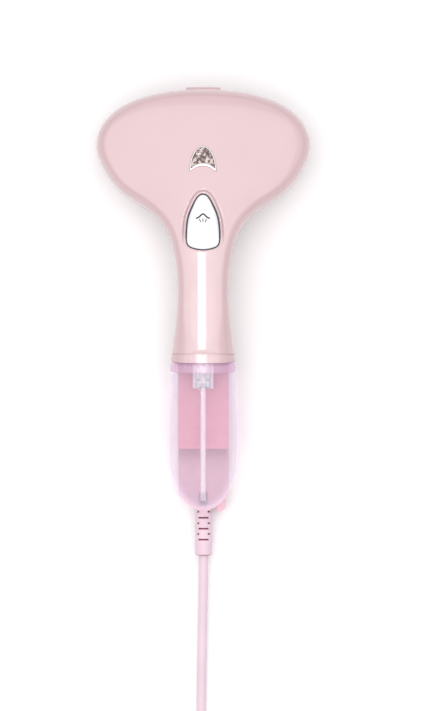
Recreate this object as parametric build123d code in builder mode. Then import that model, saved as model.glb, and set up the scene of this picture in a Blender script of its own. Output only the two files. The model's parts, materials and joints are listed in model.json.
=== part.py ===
from build123d import *
import os
from math import atan2, cos, degrees, pi, radians, sin, sqrt, tan

# A handheld garment steamer, lying on its sole plate. Millimetres, +Z up, +Y towards the head.
# The origin is on the surface it lies on, below the middle of its length.

# ---- Driving dimensions ----
HALF_LENGTH = 147.0  # from the middle to the top catch, and to the release tab
HEAD_END = 145.3  # far end of the head
HEAD_HALF = 74.0  # half the head's width
GRIP_HALF = 17.6  # half the grip's width at its waist
TANK_HALF = 25.2  # half the tank's width
TANK_BEND = -104.2  # where the tank's round end begins
TANK_END = -145.6
GRIP_END = -37.9  # where the covers end and the dock begins
WALL = 2.2  # covers
TANK_WALL = 1.9
EDGE = 13.0  # radius of the long upper edges
BELLY = 10.0  # radius of the long lower edges
SEAM = 28.0  # height of the seam between the two covers
OUTLINE_STEPS = 24  # points of a pulled-in outline
OVERRUN = 1.0  # how far a cutting form runs past the piece it hollows
SLACK = 0.3  # gap between pieces that move

# Side profile, as points of (y, z)
TOP_LINE = [(-150, 53), (-95, 56), (-38, 54), (10, 54), (55, 57), (95, 60), (150, 57)]
BELLY_LINE = [
    (-150, 0), (-100, 0), (-68, 0.6), (-38, 6), (0, 11.5), (35, 10.5), (65, 5.5), (90, 4.5), (150, 4.5)
]

# Steam head
PLATE_Y = 101.0  # middle of the sole plate
PLATE_A, PLATE_B = 52.0, 27.0
BEZEL_A, BEZEL_B = 56.0, 31.0
CHAMBER_A, CHAMBER_B = 47.0, 22.0
CHAMBER_FLOOR, CHAMBER_TOP = 11.5, 17.0
LID_BASE = 18.0  # the gasket is below it
HEATER_A, HEATER_B = 39.0, 14.5  # the heater's half ellipse
HEATER_R = 3.2
HEATER_Z = 7.0
TERMINAL_X = 12.0  # the heater's two ends, either side of the middle
INLET_Y, INLET_Z = 72.0, 14.0  # where water enters the chamber
BEZEL_TOP = 10.0

# Button and window
BUTTON_Y = 53.0
SWITCH_TOP = -8.2  # in the button plane
WINDOW_Y = 96.0

# Tank, dock and spine
COLLAR_TOP = (0, -43.4, 51)  # a point of the collar's slanted lower edge
COLLAR_NORMAL = (0, 23, 3.8)
LID_HEIGHT = 7.0
SHELF = 16.3  # lowest level of the tank
BLOCK_TOP = 30.0
BLOCK_END = -103.0
SPINE_HALF = 17.5
NOZZLE_Z = 43.0
STRAW_R = 1.85
CAP_R = 7.15
CAP_TOP = -43.8
CAP_LENGTH = 17.6
STRAW_END = 94.9  # below the cap's top
RELIEF_Y = -138.0  # where the strain relief starts, inside the dock
SLOT_ROWS = 3
SLOT_PITCH = 7.6

# Pump
PUMP_Y, PUMP_Z = -6.0, 26.8
PUMP_R = 11.0
HOSE_R, HOSE_BORE = 3.5, 2.3

# Cord
CORD_R = 3.25
CORD_Z = 8.6  # height of its exit
RELIEF_END = -177.3
COIL_R = 39.0  # middle of its turns
COIL_HALF = 10.5
COIL_X, COIL_Y = -47.6, -366.0
PLUG_X, PLUG_Z = 45.0, 18.6
PLUG_Y = -386.0  # where the plug's sleeve begins
PLUG_R = 18.5
PLUG_FACE = 61.0  # from there to the face with the pins
PIN_R = 2.4
TIE = 1.0  # thickness of the band round the coil

AHEAD, BACK, UP = (0, 1, 0), (0, -1, 0), (0, 0, 1)

os.makedirs("parts", exist_ok=True)


# ---- Helpers ----
def save(piece, name):
    """Label a finished piece and write it to its own file."""
    piece.part.label = name
    export_step(piece.part, f"parts/{name}.step")


def height_at(line, y):
    """Height of a side profile line at a given y."""
    curve = Spline(*[(0, py, pz) for py, pz in line])
    low, high = 0.0, 1.0
    for _ in range(40):
        middle = (low + high) / 2
        if curve.position_at(middle).Y < y:
            low = middle
        else:
            high = middle
    return curve.position_at(low).Z


def outline(inset):
    """Plan of the whole steamer, pulled in by inset."""
    with BuildSketch() as plan:
        with BuildLine():
            side = Spline(
                (0, HEAD_END), (29.3, 142.9), (54.2, 134.6), (69.7, 120.8), (HEAD_HALF, 106),
                (69.7, 91.8), (57.6, 75.2), (39.3, 62.8), (26.6, 50.4), (20.4, 33.8), (GRIP_HALF, 8),
                (19.9, -24.1), (22.5, -43.4), (24.4, -75), (TANK_HALF, TANK_BEND),
                tangents=[(1, 0), (0, -1)],
                mode=Mode.ADD if inset == 0 else Mode.PRIVATE,
            )
            if inset:
                steps = [n / OUTLINE_STEPS for n in range(OUTLINE_STEPS + 1)]
                inward = [(side @ t) + (side % t).rotate(Axis.Z, -90) * inset for t in steps]
                Spline(*inward, tangents=[(1, 0), (0, -1)])
            tip = TANK_BEND - TANK_END
            EllipticalCenterArc(
                (0, TANK_BEND), TANK_HALF - inset, tip - inset, start_angle=270, arc_size=90
            )
            mirror(about=Plane.YZ)
        make_face()
    return plan.sketch


def body_form(inset, upper):
    """The steamer's rounded form pulled in by inset: head and grip, or else dock and tank."""
    with BuildPart() as form:
        with BuildSketch():
            add(outline(inset))
        extrude(amount=70)
        with BuildSketch(Plane.YZ.offset(-90)):
            with BuildLine():
                top = Spline(*[(y, z - inset) for y, z in TOP_LINE])
                belly = Spline(*[(y, z + inset) for y, z in BELLY_LINE])
                Line(top @ 0, belly @ 0)
                Line(top @ 1, belly @ 1)
            make_face()
        extrude(amount=180, mode=Mode.INTERSECT)
        past = OVERRUN if inset else 0
        cut = GRIP_END - past if upper else GRIP_END + past
        split(bisect_by=Plane.XZ.offset(-cut), keep=Keep.BOTTOM if upper else Keep.TOP)
        for face_place, radius in ((-1, EDGE), (0, BELLY)):
            face = form.faces().sort_by(Axis.Z)[face_place]
            rim = [e for e in face.edges() if abs(e.center().Y - cut) > 0.5]
            fillet(rim, radius=radius - inset)
    return form.part


def ellipse_prism(a, b, low, high):
    """An upright elliptical block round the sole plate's middle."""
    with BuildPart() as prism:
        with BuildSketch(Plane.XY.offset(low)):
            with Locations((0, PLATE_Y)):
                Ellipse(a, b)
        extrude(amount=high - low)
    return prism.part


def tube_along(points, radius, corner, bore=0.0):
    """A round tube along straight runs joined by arcs."""
    with BuildPart() as tube:
        with BuildLine() as path:
            if len(points) > 2:
                FilletPolyline(*points, radius=corner)
            else:
                Line(*points)
        with BuildSketch(Plane(origin=path.line @ 0, z_dir=path.line % 0)):
            Circle(radius)
            if bore:
                Circle(bore, mode=Mode.SUBTRACT)
        sweep(path=path.line)
    return tube.part


def turned(profile, origin, direction):
    """A solid of revolution, from (radius, distance) points along an axis."""
    across = (0, 0, 1) if abs(direction[2]) < 0.9 else (1, 0, 0)
    plane = Plane(origin=origin, x_dir=across, z_dir=Vector(*across).cross(Vector(*direction)))
    with BuildPart() as solid:
        with BuildSketch(plane):
            with BuildLine():
                Polyline(*profile, close=True)
            make_face()
        revolve(axis=Axis(origin, direction))
    return solid.part


def spring_along(origin, direction, radius, wire, turns, length):
    """A helical compression spring."""
    with BuildPart() as coil:
        with BuildLine() as path:
            Helix(pitch=length / turns, height=length, radius=radius, center=origin, direction=direction)
        with BuildSketch(Plane(origin=path.line @ 0, z_dir=path.line % 0)):
            Circle(wire)
        sweep(path=path.line)
    return coil.part


# ---- Covers ----
outer = body_form(0, True)
inner = body_form(WALL, True)
lower_outer = body_form(0, False)
lower_inner = body_form(TANK_WALL, False)

button_height = height_at(TOP_LINE, BUTTON_Y)
slope = (height_at(TOP_LINE, BUTTON_Y + 15) - height_at(TOP_LINE, BUTTON_Y - 15)) / 30
PRESS = Vector(0, -slope, 1).normalized()
button_plane = Plane(origin=(0, BUTTON_Y, button_height), x_dir=(1, 0, 0), z_dir=PRESS)
window_height = height_at(TOP_LINE, WINDOW_Y)
window_plane = Plane(origin=(0, WINDOW_Y, window_height), x_dir=(1, 0, 0), z_dir=(0, 0, 1))
print("button axis", PRESS, "height", button_height, "window", window_height)


def button_outline(grow):
    """Thumb-shaped outline of the button, in the button plane."""
    with BuildSketch() as shape:
        with BuildLine():
            Spline(
                (0, 18.6 + grow), (6.4 + 0.75 * grow, 11.5 + 0.66 * grow),
                (9.6 + 0.95 * grow, 3.5 + 0.3 * grow), (11 + grow, -10.5), tangents=[(1, 0), (0, -1)],
            )
            Line((11 + grow, -10.5), (11 + grow, -13.2))
            ThreePointArc((11 + grow, -13.2), (10.2 + 0.7 * grow, -15.9 - 0.7 * grow), (7.8, -17.2 - grow))
            ThreePointArc((7.8, -17.2 - grow), (4, -18.3 - grow), (0, -18.7 - grow))
            mirror(about=Plane.YZ)
        make_face()
    return shape.sketch


def window_outline(grow):
    """Arch with a hollow foot, in the window plane."""
    with BuildSketch() as shape:
        with BuildLine():
            Spline(
                (0, 9.2 + grow), (6.2 + 0.8 * grow, 4.6 + 0.6 * grow), (8.5 + 0.95 * grow, -1.5),
                (9.1 + grow, -8.3 - grow), tangents=[(1, 0), (0, -1)],
            )
            ThreePointArc((9.1 + grow, -8.3 - grow), (4.6, -5.6 - grow), (0, -4.6 - grow))
            mirror(about=Plane.YZ)
        make_face()
    return shape.sketch


BOSSES = [((-62, 104), 57.5), ((62, 104), 57.5), ((-34, 131), 56.2), ((34, 131), 56.2)]
BOSS_PLACES = [place for place, top in BOSSES]
BOSS_R = 4.0
SCREW_R = 1.45
SCREW_HEAD_Z = 9.0

with BuildPart() as rear_cover:
    add(outer)
    split(bisect_by=Plane.XY.offset(SEAM), keep=Keep.TOP)
    add(inner, mode=Mode.SUBTRACT)
    for place, top in BOSSES:
        with BuildSketch(Plane.XY.offset(SEAM)):
            with Locations(place):
                Circle(BOSS_R)
        extrude(amount=top - SEAM)
    with BuildSketch(Plane.XY.offset(SEAM)):
        with Locations(*BOSS_PLACES):
            Circle(SCREW_R + 0.15)
    extrude(amount=15, mode=Mode.SUBTRACT)
    with BuildSketch(button_plane.offset(-0.9)):
        add(button_outline(3.0))
    extrude(amount=8, mode=Mode.SUBTRACT)
    with BuildSketch(button_plane.offset(-6)):
        add(button_outline(SLACK))
    extrude(amount=8, mode=Mode.SUBTRACT)
    with BuildSketch(window_plane.offset(-8)):
        add(window_outline(0))
    extrude(amount=12, mode=Mode.SUBTRACT)
save(rear_cover, "rear_cover")

with BuildPart() as front_cover:
    add(outer)
    split(bisect_by=Plane.XY.offset(SEAM), keep=Keep.BOTTOM)
    add(inner, mode=Mode.SUBTRACT)
    with BuildSketch(Plane.XY.offset(6.2)):
        with Locations(*BOSS_PLACES):
            Circle(BOSS_R)
    extrude(amount=SEAM - 6.2)
    add(ellipse_prism(BEZEL_A + 0.3, BEZEL_B + 0.3, -5, 12), mode=Mode.SUBTRACT)
    with BuildSketch():
        with Locations(*BOSS_PLACES):
            Circle(SCREW_R + 0.15)
    extrude(amount=SEAM + 2, mode=Mode.SUBTRACT)
    with BuildSketch():
        with Locations(*BOSS_PLACES):
            Circle(3.2)
    extrude(amount=SCREW_HEAD_Z + 3, mode=Mode.SUBTRACT)
save(front_cover, "front_cover")

with BuildPart() as housing_screws:
    with BuildSketch(Plane.XY.offset(SCREW_HEAD_Z)):
        with Locations(*BOSS_PLACES):
            Circle(2.9)
    extrude(amount=3)
    with BuildSketch(Plane.XY.offset(SCREW_HEAD_Z + 3)):
        with Locations(*BOSS_PLACES):
            Circle(SCREW_R)
    extrude(amount=26)
    with BuildSketch(Plane.XY.offset(SCREW_HEAD_Z)):
        with Locations(*BOSS_PLACES):
            Rectangle(3.6, 0.8)
            Rectangle(0.8, 3.6)
    extrude(amount=1.2, mode=Mode.SUBTRACT)
save(housing_screws, "housing_screws")

with BuildPart() as top_catch:
    with BuildSketch(Plane.XY.offset(33)):
        add(outline(HEAD_END - HALF_LENGTH))
        add(outline(0), mode=Mode.SUBTRACT)
    extrude(amount=8)
    with BuildSketch(Plane.XY.offset(30)):
        with Locations((0, HEAD_END)):
            Rectangle(24, 12)
    extrude(amount=20, mode=Mode.INTERSECT)
save(top_catch, "top_catch")

# ---- Window ----
with BuildPart() as indicator_frame:
    with BuildSketch(window_plane.offset(-4.5)):
        add(window_outline(-0.1))
        add(window_outline(-1.1), mode=Mode.SUBTRACT)
    extrude(amount=4.7)
save(indicator_frame, "indicator_frame")

with BuildPart() as indicator_lens:
    with BuildSketch(window_plane.offset(-4.0)):
        add(window_outline(-1.15))
    extrude(amount=3.2)
    with BuildSketch(window_plane.offset(-4.0)):
        Circle(2.8)
    extrude(amount=1.6, mode=Mode.SUBTRACT)
save(indicator_lens, "indicator_lens")

led_base = window_height - 10.0
with BuildPart() as indicator_led:
    dome = [(0, 0), (2.9, 0), (2.9, 1), (2.5, 1), (2.5, 5.2), (1.8, 6.6), (0, 7.2)]
    add(turned(dome, (0, WINDOW_Y, led_base), UP))
    for x in (-1.27, 1.27):
        with BuildSketch(Plane.XY.offset(led_base)):
            with Locations((x, WINDOW_Y)):
                Rectangle(0.5, 0.5)
        extrude(amount=-5)
save(indicator_led, "indicator_led")

# ---- Button, switch and bracket ----
with BuildPart() as steam_button:
    with BuildSketch(button_plane.offset(-3.4)):
        add(button_outline(0))
    extrude(amount=4.2)
    with BuildSketch(button_plane.offset(0.8)):
        add(button_outline(-0.5))
    extrude(amount=0.5)
    with BuildSketch(button_plane.offset(-4.4)):
        add(button_outline(1.1))
    extrude(amount=1.0)
    with BuildSketch(button_plane.offset(-5.5)):
        Circle(2.4)
    extrude(amount=2)
save(steam_button, "steam_button")

with BuildPart() as micro_switch:
    with BuildSketch(button_plane.offset(SWITCH_TOP - 5.5)):
        Rectangle(11, 16)
    extrude(amount=5.5)
    chamfer(micro_switch.edges().filter_by(lambda e: abs((e % 0.5).dot(PRESS)) > 0.99), length=0.8)
    with BuildSketch(button_plane.offset(SWITCH_TOP - 2.4)):
        Circle(1.9)
    extrude(amount=2.4, mode=Mode.SUBTRACT)
save(micro_switch, "micro_switch")

with BuildPart() as switch_plunger:
    with BuildSketch(button_plane.offset(SWITCH_TOP - 0.8)):
        Circle(1.6)
    extrude(amount=-5.7 - (SWITCH_TOP - 0.8))
save(switch_plunger, "switch_plunger")

spring_base = button_plane.offset(SWITCH_TOP + 0.45).origin
with BuildPart() as button_spring:
    add(spring_along(spring_base, PRESS, 3.6, 0.35, 2.5, 2.9))
save(button_spring, "button_spring")

BRACKET = SWITCH_TOP - 5.6
with BuildPart() as switch_bracket:
    with BuildSketch(button_plane.offset(BRACKET - 1.6)):
        RectangleRounded(25, 46, 3)
        with Locations((0, 15), (0, -15)):
            SlotOverall(12, 5, mode=Mode.SUBTRACT)
    extrude(amount=1.6)
    with BuildSketch(button_plane.offset(BRACKET)):
        with GridLocations(21, 41.5, 2, 2):
            Circle(1.6)
    extrude(amount=-BRACKET - 3.2)
    with BuildSketch(button_plane.offset(BRACKET)):
        with Locations((0, 9.2), (0, -9.2)):
            Rectangle(9, 1.6)
    extrude(amount=3)
save(switch_bracket, "switch_bracket")

# ---- Sole plate, steam chamber and what is on it ----
RING_HOLES = 18
around = [2 * pi * n / RING_HOLES for n in range(RING_HOLES)]
steam_holes = [(43 * cos(a), PLATE_Y + 18.5 * sin(a)) for a in around]
steam_holes += [(x, PLATE_Y) for x in (-26, -13, 0, 13, 26)]

with BuildPart() as sole_plate:
    add(ellipse_prism(PLATE_A, PLATE_B, 0, 2))
    chamfer(sole_plate.faces().sort_by(Axis.Z)[0].edges(), length=0.8)
    with BuildSketch():
        with Locations(*steam_holes):
            Circle(1.5)
    extrude(amount=3, mode=Mode.SUBTRACT)
save(sole_plate, "sole_plate")

with BuildPart() as plate_bezel:
    add(ellipse_prism(BEZEL_A, BEZEL_B, 0.8, 6.5))
    fillet(plate_bezel.faces().sort_by(Axis.Z)[0].edges(), radius=1.6)
    add(ellipse_prism(BEZEL_A, BEZEL_B, 6.5, BEZEL_TOP))
    add(ellipse_prism(PLATE_A + 0.2, PLATE_B + 0.2, 0, 14), mode=Mode.SUBTRACT)
save(plate_bezel, "plate_bezel")

with BuildPart() as heating_element:
    with BuildLine() as route:
        share = TERMINAL_X / HEATER_A
        start = degrees(atan2(-sqrt(1 - share**2), share))
        EllipticalCenterArc(
            (0, PLATE_Y, HEATER_Z), HEATER_A, HEATER_B, start_angle=start, arc_size=180 - 2 * start
        )
    with BuildSketch(Plane(origin=route.line @ 0, z_dir=route.line % 0)):
        Circle(HEATER_R)
    sweep(path=route.line)
    for end in (route.line @ 0, route.line @ 1):
        add(turned([(0, 0), (2, 0), (2, 10.2), (0, 10.2)], (end.X, end.Y, HEATER_Z), BACK))
save(heating_element, "heating_element")

with BuildPart() as heater_groove:
    groove = HEATER_R + 0.7
    add(ellipse_prism(HEATER_A + groove, HEATER_B + groove, 3.6, 10.4))
    add(ellipse_prism(HEATER_A - groove - 0.9, HEATER_B - groove - 0.5, 3, 11), mode=Mode.SUBTRACT)
    with BuildSketch(Plane.XY.offset(3.6)):
        with Locations((-TERMINAL_X, 80.2), (TERMINAL_X, 80.2)):
            Rectangle(8, 19)
    extrude(amount=6.8)

with BuildPart() as steam_chamber:
    add(ellipse_prism(CHAMBER_A + 4.5, CHAMBER_B + 4.5, 2, 4.5))
    add(ellipse_prism(CHAMBER_A, CHAMBER_B, 4.5, CHAMBER_TOP))
    add(ellipse_prism(CHAMBER_A - 5, CHAMBER_B - 5, CHAMBER_FLOOR, CHAMBER_TOP), mode=Mode.SUBTRACT)
    add(ellipse_prism(CHAMBER_A - 1, CHAMBER_B - 0.5, 2, 3), mode=Mode.SUBTRACT)
    with BuildSketch(Plane.XY.offset(2)):
        with Locations(*[(x, PLATE_Y) for x in (-20, -7, 7, 20)]):
            Circle(1.8)
    extrude(amount=12, mode=Mode.SUBTRACT)
    with BuildSketch(Plane.XY.offset(CHAMBER_FLOOR)):
        with Locations((-14, PLATE_Y), (14, PLATE_Y)):
            Rectangle(1.6, 20)
    extrude(amount=4)
    inlet = (0, INLET_Y, INLET_Z)
    add(turned([(0, 0), (2.2, 0), (2.2, 12), (0, 12)], inlet, AHEAD))
    add(turned([(0, -1), (1.2, -1), (1.2, 16), (0, 16)], inlet, AHEAD), mode=Mode.SUBTRACT)
    add(heater_groove.part, mode=Mode.SUBTRACT)
    lid_screws = [(44.3 * cos(a), PLATE_Y + 19.4 * sin(a)) for a in (0.5, pi - 0.5, pi + 0.5, -0.5)]
    with BuildSketch(Plane.XY.offset(12)):
        with Locations(*lid_screws):
            Circle(1.35)
    extrude(amount=6, mode=Mode.SUBTRACT)
save(steam_chamber, "steam_chamber")

with BuildPart() as chamber_gasket:
    add(ellipse_prism(CHAMBER_A, CHAMBER_B, CHAMBER_TOP, LID_BASE))
    add(ellipse_prism(CHAMBER_A - 4.6, CHAMBER_B - 4.6, CHAMBER_TOP - 1, LID_BASE + 1), mode=Mode.SUBTRACT)
    with BuildSketch(Plane.XY.offset(16)):
        with Locations(*lid_screws):
            Circle(1.35)
    extrude(amount=3, mode=Mode.SUBTRACT)
save(chamber_gasket, "chamber_gasket")

with BuildPart() as chamber_lid:
    add(ellipse_prism(CHAMBER_A, CHAMBER_B, LID_BASE, LID_BASE + 2.5))
    add(ellipse_prism(CHAMBER_A - 8, CHAMBER_B - 8, LID_BASE + 2.5, LID_BASE + 3.5))
    with BuildSketch(Plane.XY.offset(16)):
        with Locations(*lid_screws):
            Circle(1.35)
    extrude(amount=6, mode=Mode.SUBTRACT)
save(chamber_lid, "chamber_lid")

with BuildPart() as chamber_screws:
    with BuildSketch(Plane.XY.offset(20.6)):
        with Locations(*lid_screws):
            Circle(2.4)
    extrude(amount=1.8)
    with BuildSketch(Plane.XY.offset(13)):
        with Locations(*lid_screws):
            Circle(1.25)
    extrude(amount=8)
    with BuildSketch(Plane.XY.offset(21.6)):
        with Locations(*lid_screws):
            Rectangle(3, 0.7)
            Rectangle(0.7, 3)
    extrude(amount=1, mode=Mode.SUBTRACT)
save(chamber_screws, "chamber_screws")

with BuildPart() as thermostat:
    can = [(0, 0), (8.2, 0), (8.2, 1.2), (7, 1.2), (7, 6), (0, 6)]
    add(turned(can, (20, PLATE_Y, LID_BASE + 3.5), UP))
    with BuildSketch(Plane.XY.offset(27.5)):
        with Locations((16, PLATE_Y), (24, PLATE_Y)):
            Rectangle(0.8, 5)
    extrude(amount=2.2)
save(thermostat, "thermostat")

with BuildPart() as thermal_fuse:
    leads_and_body = [(0, -14), (0.6, -14), (0.6, -7), (2, -7), (2, 7), (0.6, 7), (0.6, 14), (0, 14)]
    add(turned(leads_and_body, (-20, PLATE_Y, 23.7), (1, 0, 0)))
save(thermal_fuse, "thermal_fuse")

with BuildPart() as fuse_clip:
    with BuildSketch(Plane.YZ.offset(-23)):
        with Locations((PLATE_Y, 23.7)):
            Rectangle(9, 4.4)
            Rectangle(4.2, 4.4, mode=Mode.SUBTRACT)
        with Locations((PLATE_Y, 26.4)):
            Rectangle(9, 1)
    extrude(amount=6)
save(fuse_clip, "fuse_clip")

with BuildPart() as heat_shield:
    add(ellipse_prism(CHAMBER_A + 5, CHAMBER_B + 5, 24, 31))
    add(ellipse_prism(CHAMBER_A + 4.2, CHAMBER_B + 4.2, 23, 30.2), mode=Mode.SUBTRACT)
    with BuildSketch(Plane.XY.offset(29)):
        with Locations((-20, PLATE_Y), (20, PLATE_Y)):
            SlotOverall(16, 5)
    extrude(amount=4, mode=Mode.SUBTRACT)
save(heat_shield, "heat_shield")

# ---- Pump, board and hoses ----
pump_place = (0, PUMP_Y, PUMP_Z)
with BuildPart() as pump_body:
    winding = [(4, 0), (7, 0), (7, 3), (PUMP_R, 3), (PUMP_R, 27), (7, 27), (7, 34), (4, 34)]
    outlet = [(0, 34), (7, 34), (7, 36), (2.2, 36), (2.2, 42), (1.2, 42), (1.2, 34.8), (0, 34.8)]
    intake = [(1.2, -6), (2.2, -6), (2.2, -1.5), (7, -1.5), (7, 0), (1.2, 0)]
    for profile in (winding, outlet, intake):
        add(turned(profile, pump_place, AHEAD))
save(pump_body, "pump_body")

with BuildPart() as pump_plunger:
    add(turned([(0, 5), (3.6, 5), (3.6, 22), (2.4, 22), (2.4, 29), (0, 29)], pump_place, AHEAD))
save(pump_plunger, "pump_plunger")

with BuildPart() as pump_spring:
    add(spring_along((0, PUMP_Y + 0.8, PUMP_Z), AHEAD, 2.8, 0.35, 4, 3.6))
save(pump_spring, "pump_spring")

with BuildPart() as pump_bracket:
    with BuildSketch(Plane.XZ.offset(-16)):
        with Locations((0, PUMP_Z)):
            Circle(PUMP_R + 1.1)
        with Locations((0, PUMP_Z - PUMP_R - 0.2)):
            Rectangle(18, 1.8)
        with Locations((0, PUMP_Z)):
            Circle(PUMP_R + 0.1, mode=Mode.SUBTRACT)
    extrude(amount=12)
save(pump_bracket, "pump_bracket")

with BuildPart() as suction_hose:
    route = [(0, -32.2, NOZZLE_Z), (0, -28, NOZZLE_Z), (0, -19.5, PUMP_Z), (0, -8, PUMP_Z)]
    add(tube_along(route, HOSE_R, 5, HOSE_BORE))
save(suction_hose, "suction_hose")

with BuildPart() as pressure_hose:
    route = [(0, 31, PUMP_Z), (0, 46, PUMP_Z), (0, 60, INLET_Z), (0, INLET_Y + 5, INLET_Z)]
    add(tube_along(route, HOSE_R, 9, HOSE_BORE))
save(pressure_hose, "pressure_hose")

BOARD_TOP = 45.6
with BuildPart() as control_board:
    with BuildSketch(Plane.XY.offset(BOARD_TOP - 1.6)):
        with Locations((0, 6)):
            Rectangle(19, 46)
    extrude(amount=1.6)
    with BuildSketch(Plane.XY.offset(BOARD_TOP)):
        with Locations((-4, 18), (4.5, 12), (-3.5, 2)):
            Rectangle(6, 8)
    extrude(amount=3.2)
    with BuildSketch(Plane.XY.offset(BOARD_TOP)):
        with Locations((4.5, -4), (-4.5, -10)):
            Circle(3.2)
    extrude(amount=4.2)
save(control_board, "control_board")

# ---- Dock, spine and strain relief ----
collar_plane = Plane(origin=COLLAR_TOP, x_dir=(1, 0, 0), z_dir=COLLAR_NORMAL)
lid_plane = collar_plane.offset(-LID_HEIGHT)


def tank_space(grow):
    """The block of the spine that reaches into the tank, made larger by grow."""
    with BuildPart() as space:
        with BuildSketch(Plane.XY.offset(-5)):
            with Locations((0, (BLOCK_END - grow) / 2)):
                Rectangle(2 * (SPINE_HALF + grow), -(BLOCK_END - grow))
        extrude(amount=5 + BLOCK_TOP + grow)
    return space.part


with BuildPart() as spine:
    with BuildSketch():
        with Locations((0, -95)):
            Rectangle(2 * SPINE_HALF, 120)
    extrude(amount=SHELF - SLACK)
    add(tank_space(0))
    add(lower_outer, mode=Mode.INTERSECT)

with BuildPart() as tank_dock:
    add(lower_outer)
    split(bisect_by=collar_plane, keep=Keep.TOP)
    add(spine.part)
    with BuildSketch(Plane.XZ.offset(-GRIP_END)):
        with Locations((0, 33)):
            RectangleRounded(28, 33, 9)
    extrude(amount=-4)
    with BuildSketch(Plane.XZ.offset(30)):
        with Locations((0, NOZZLE_Z)):
            Circle(3.05)
    extrude(amount=30, mode=Mode.SUBTRACT)
    with BuildSketch(Plane.XY.offset(3)):
        with Locations((0, -74)):
            Rectangle(28, 50)
    extrude(amount=BLOCK_TOP - 5.5, mode=Mode.SUBTRACT)
    with BuildSketch():
        with Locations((0, -81)):
            Rectangle(24, 32)
    extrude(amount=4, mode=Mode.SUBTRACT)
    with BuildSketch(Plane.XZ.offset(30)):
        with Locations((0, 20)):
            SlotOverall(12, 6)
    extrude(amount=30, mode=Mode.SUBTRACT)
    cord_hole = [(0, 0), (3.4, 0), (3.4, 40), (6.9, 40), (6.9, 43.6), (5.5, 43.6), (5.5, 60), (0, 60)]
    add(turned(cord_hole, (0, RELIEF_Y + 40, CORD_Z), BACK), mode=Mode.SUBTRACT)
    with BuildSketch(Plane.XY.offset(3.8)):
        with Locations((12.2, -145)):
            Rectangle(6.6, 24)
    extrude(amount=8.4, mode=Mode.SUBTRACT)
save(tank_dock, "tank_dock")

with BuildPart() as spine_cover:
    with BuildSketch():
        with Locations((0, -81)):
            Rectangle(23.8, 31.8)
    extrude(amount=2.8)
    add(lower_outer, mode=Mode.INTERSECT)
save(spine_cover, "spine_cover")

with BuildPart() as cord_clamp:
    with BuildSketch(Plane.XZ.offset(88)):
        with Locations((0, 8.5)):
            Rectangle(20, 10)
        with Locations((0, CORD_Z)):
            Circle(3.1, mode=Mode.SUBTRACT)
    extrude(amount=8)
    with BuildSketch(Plane.XY.offset(13.5)):
        with Locations((-7, -92), (7, -92)):
            Circle(2.2)
    extrude(amount=1.6)
save(cord_clamp, "cord_clamp")

with BuildPart() as release_tab:
    with BuildSketch(Plane.XY.offset(4.1)):
        with BuildLine():
            Polyline((9.3, -144.5), (9.3, -136.5), (15.1, -136.5), (15.1, -143.2))
            ThreePointArc((15.1, -143.2), (12.6, -146.4), (9.3, -HALF_LENGTH))
            Line((9.3, -HALF_LENGTH), (9.3, -144.5))
        make_face()
    extrude(amount=7.8)
save(release_tab, "release_tab")

with BuildPart() as tab_spring:
    add(spring_along((12.2, -136.1, 8), AHEAD, 1.9, 0.3, 2.5, 2.8))
save(tab_spring, "tab_spring")

with BuildPart() as strain_relief:
    sleeve_end = RELIEF_Y - RELIEF_END
    flange = [(0, 0), (3.3, 0), (3.3, 0.5), (6.7, 0.5), (6.7, 3.3), (5.2, 3.3), (5.2, 9.2)]
    sleeve = [(6.1, 10.2), (5.7, 24), (6.2, 38), (6.0, sleeve_end), (0, sleeve_end)]
    add(turned(flange + sleeve, (0, RELIEF_Y, CORD_Z), BACK))
    for n in range(SLOT_ROWS):
        first = -RELIEF_Y + 12.6 + SLOT_PITCH * n
        for level in (-4.9, 4.9):
            with BuildSketch(Plane.XZ.offset(first)):
                with Locations((level, CORD_Z)):
                    Rectangle(2.6, 14)
            extrude(amount=2.2, mode=Mode.SUBTRACT)
            with BuildSketch(Plane.XZ.offset(first + SLOT_PITCH / 2)):
                with Locations((0, CORD_Z + level)):
                    Rectangle(14, 2.6)
            extrude(amount=2.2, mode=Mode.SUBTRACT)
save(strain_relief, "strain_relief")

# ---- Nozzle and tank ----
with BuildPart() as nozzle_ring:
    with BuildSketch(Plane.YZ):
        with Locations((-48.5, NOZZLE_Z + 3.1)):
            Circle(0.8)
    revolve(axis=Axis((0, 0, NOZZLE_Z), (0, 1, 0)))
save(nozzle_ring, "nozzle_ring")

with BuildPart() as dock_nozzle:
    root = [(1, 0), (2.2, 0), (2.2, 1), (4.4, 1), (4.4, 2.5), (3, 2.5)]
    tip = [(3, 17.7), (1.7, 18.7), (1.7, 20.3), (1, 20.3)]
    add(turned(root + tip, (0, -31.4, NOZZLE_Z), BACK))
    add(nozzle_ring.part, mode=Mode.SUBTRACT)
save(dock_nozzle, "dock_nozzle")

with BuildPart() as tank_outer:
    add(lower_outer)
    split(bisect_by=Plane.XY.offset(SHELF), keep=Keep.TOP)
    split(bisect_by=collar_plane.offset(-SLACK), keep=Keep.BOTTOM)
    add(tank_space(0.5), mode=Mode.SUBTRACT)

with BuildPart() as tank_inner:
    add(lower_inner)
    split(bisect_by=Plane.XY.offset(SHELF + TANK_WALL), keep=Keep.TOP)
    split(bisect_by=collar_plane.offset(-SLACK - TANK_WALL), keep=Keep.BOTTOM)
    add(tank_space(0.5 + TANK_WALL), mode=Mode.SUBTRACT)

with BuildPart() as tank_shell:
    add(tank_outer.part)
    add(tank_inner.part, mode=Mode.SUBTRACT)
    split(bisect_by=lid_plane, keep=Keep.BOTTOM)
save(tank_shell, "tank_shell")

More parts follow.
